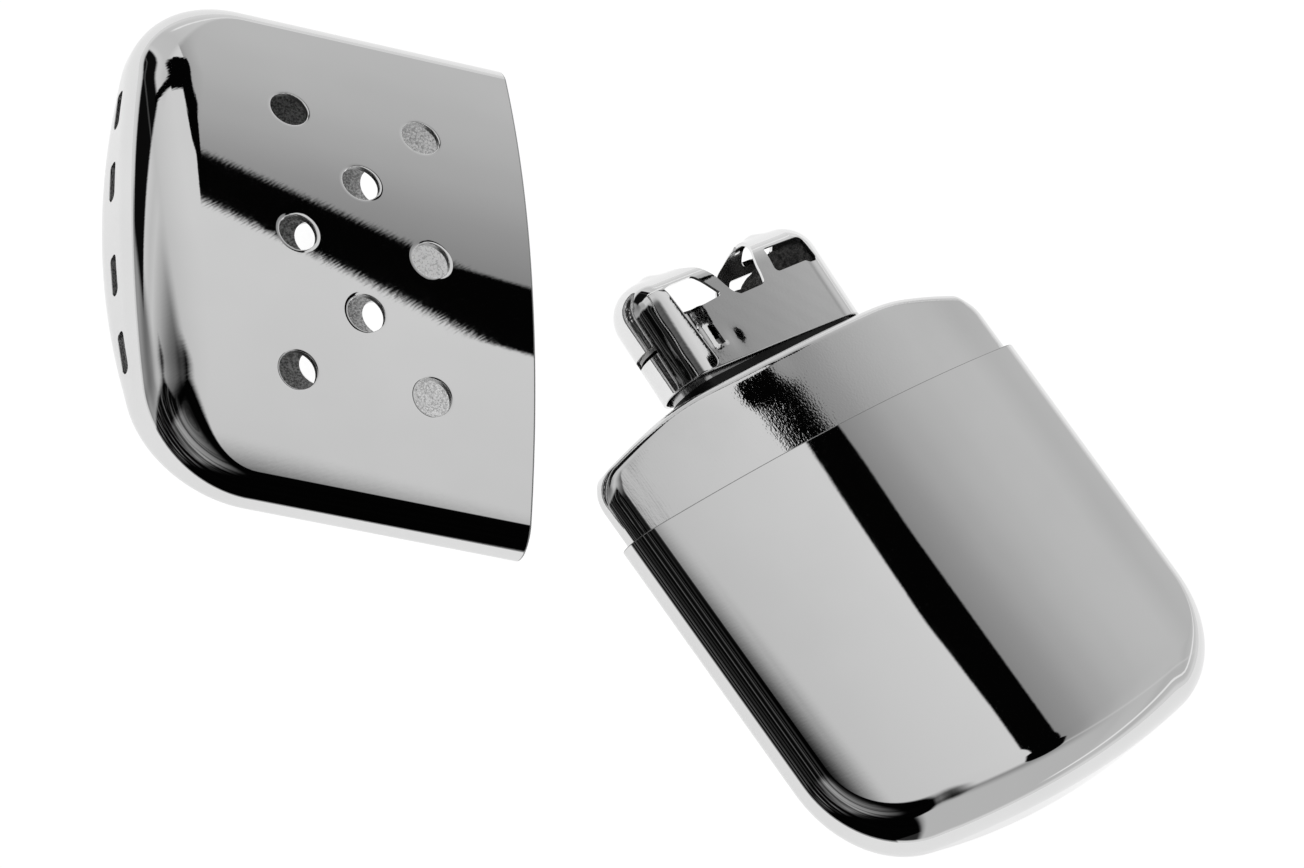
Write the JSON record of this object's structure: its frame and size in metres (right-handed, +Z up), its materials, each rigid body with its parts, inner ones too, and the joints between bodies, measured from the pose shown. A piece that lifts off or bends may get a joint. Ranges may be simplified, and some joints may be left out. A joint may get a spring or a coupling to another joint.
{
  "type": "catalytic hand warmer",
  "caption": "Pocket catalytic hand warmer, opened: flat rounded fuel tank with an oval burner on its neck, and its vented push-on cap lying beside it.",
  "frame": {"origin": "middle of the bottom of the bounding box, on the surface that the tank and the cap lie on", "axes": "+Z up, out of the crowned front faces; +Y along the tank from its rounded end towards the burner; +X across the tank, away from the cap"},
  "size_m": [0.112, 0.1296, 0.0132],
  "materials": {
    "case_chrome": "bright chrome plate",
    "collar_chrome": "satin chrome, drawn lengthwise",
    "neck_brass": "nickel-plated brass",
    "burner_steel": "bright nickel plate",
    "inner_steel": "plain sheet",
    "catalyst": "platinum-coated glass wool",
    "cotton": "packed cotton wadding",
    "wick_felt": "felt"
  },
  "bodies": {
    "tank": {"case_shell": "case_chrome", "tank_collar": "collar_chrome", "neck_ring": "neck_brass", "neck_tube": "neck_brass", "wick_plug": "wick_felt", "wadding_top": "cotton", "wadding_middle": "cotton", "wadding_bottom": "cotton"},
    "burner": {"burner_cage": "burner_steel", "burner_grip_band": "inner_steel", "burner_floor": "inner_steel", "backing_gauze": "inner_steel", "catalyst_mat": "catalyst"},
    "cap": {"cap_shell": "case_chrome"}
  },
  "joints": [
    {"name": "cap_pull", "type": "slide", "parent": "tank", "child": "cap", "axis": [-0.8113, 0.5846, 0], "range_m": [0, 0.04]},
    {"name": "burner_pull", "type": "slide", "parent": "tank", "child": "burner", "axis": [0.0576, 0.9983, 0], "range_m": [0, 0.012]}
  ]
}
